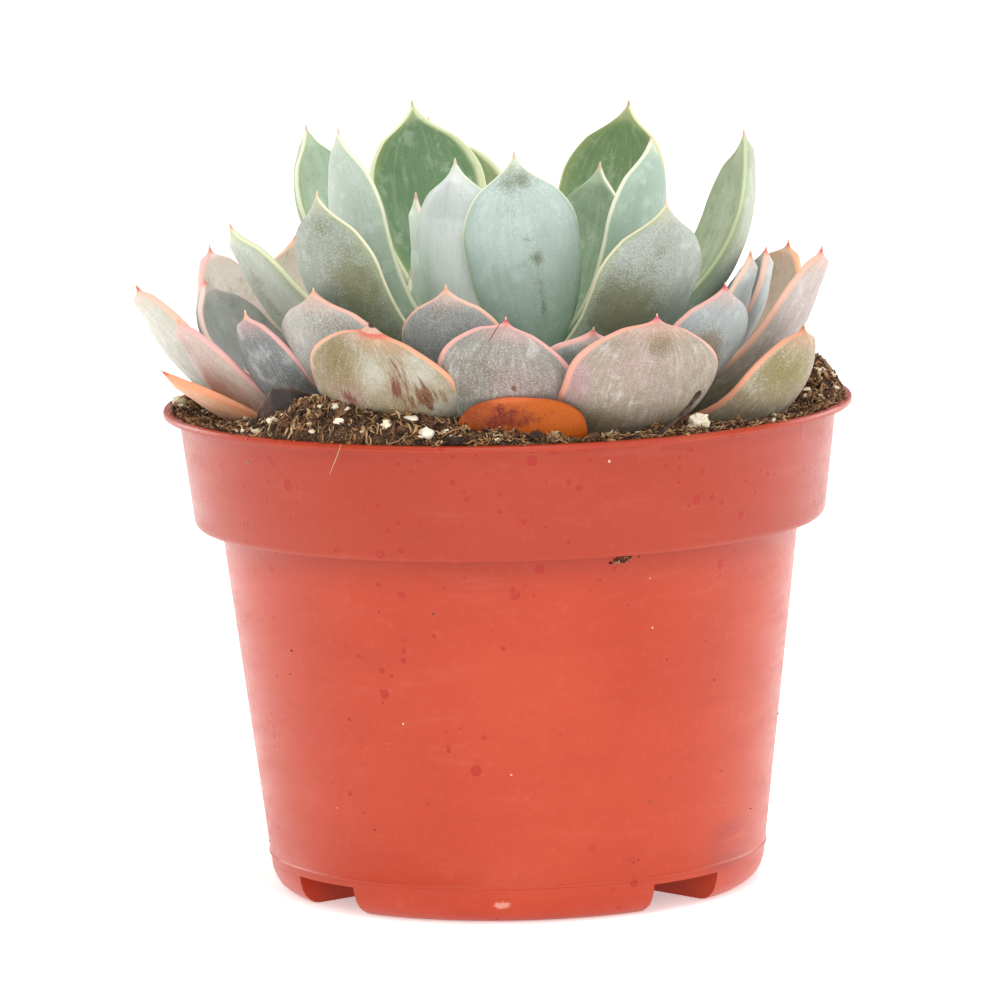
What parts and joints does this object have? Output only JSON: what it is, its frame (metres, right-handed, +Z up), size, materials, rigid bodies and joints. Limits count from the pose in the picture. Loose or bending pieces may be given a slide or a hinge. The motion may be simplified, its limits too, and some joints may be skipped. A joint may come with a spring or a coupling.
{
  "type": "potted succulent",
  "caption": "Rosette of thick pointed leaves with pink-edged margins, growing from a short stem in soil in a tapered round plastic nursery pot.",
  "frame": {"origin": "under the middle of the whole object, at the level of the surface that its feet stand on; the pot's axis stands at X = 2.35 mm", "axes": "+Z up along the pot's axis, -Y towards the front of the plant, +X to its right seen from the front"},
  "size_m": [0.1249, 0.12, 0.1348],
  "materials": {
    "pot_plastic": "smooth moulded plastic with a soft sheen",
    "potting_soil": "loose peat and coir fibre with white perlite",
    "stem_bark": "matte",
    "young_leaf": "pale waxy bloom",
    "inner_leaf": "pale waxy bloom with cream margins",
    "middle_leaf": "waxy bloom with cream margins",
    "second_leaf": "waxy bloom with peach margins",
    "outer_leaf": "waxy bloom with peach margins and red tips",
    "withered_leaf": "soft, drying",
    "fallen_leaf": "smooth, soft sheen",
    "dead_leaf": "dry and papery",
    "perlite": "rough, porous",
    "twig_wood": "rough"
  },
  "bodies": {
    "root": {"pot": "pot_plastic", "soil": "potting_soil", "stem": "stem_bark", "heart_leaf_1": "young_leaf", "heart_leaf_2": "young_leaf", "heart_leaf_3": "young_leaf", "heart_leaf_4": "young_leaf", "heart_leaf_5": "young_leaf", "heart_leaf_6": "young_leaf", "heart_leaf_7": "young_leaf", "inner_leaf_1": "inner_leaf", "inner_leaf_2": "inner_leaf", "inner_leaf_3": "inner_leaf", "inner_leaf_4": "inner_leaf", "inner_leaf_5": "inner_leaf", "inner_leaf_6": "inner_leaf", "inner_leaf_7": "inner_leaf", "inner_leaf_8": "inner_leaf", "inner_leaf_9": "inner_leaf", "middle_leaf_1": "middle_leaf", "middle_leaf_2": "middle_leaf", "middle_leaf_3": "middle_leaf", "middle_leaf_4": "middle_leaf", "middle_leaf_5": "middle_leaf", "middle_leaf_6": "middle_leaf", "middle_leaf_7": "middle_leaf", "middle_leaf_8": "middle_leaf", "second_leaf_1": "second_leaf", "second_leaf_2": "second_leaf", "second_leaf_3": "second_leaf", "second_leaf_4": "second_leaf", "second_leaf_5": "second_leaf", "second_leaf_6": "second_leaf", "second_leaf_7": "second_leaf", "second_leaf_8": "second_leaf", "second_leaf_9": "second_leaf", "second_leaf_10": "second_leaf", "second_leaf_11": "second_leaf", "outer_leaf_1": "outer_leaf", "outer_leaf_2": "outer_leaf", "outer_leaf_3": "outer_leaf", "outer_leaf_4": "outer_leaf", "outer_leaf_5": "outer_leaf", "outer_leaf_6": "outer_leaf", "outer_leaf_7": "outer_leaf", "outer_leaf_8": "outer_leaf", "outer_leaf_9": "outer_leaf", "outer_leaf_10": "outer_leaf", "outer_leaf_11": "outer_leaf", "outer_leaf_12": "outer_leaf", "outer_leaf_13": "outer_leaf", "withered_leaf": "withered_leaf", "fallen_leaf": "fallen_leaf", "dead_leaf": "dead_leaf", "perlite_grain": "perlite", "twig": "twig_wood"}
  },
  "joints": []
}
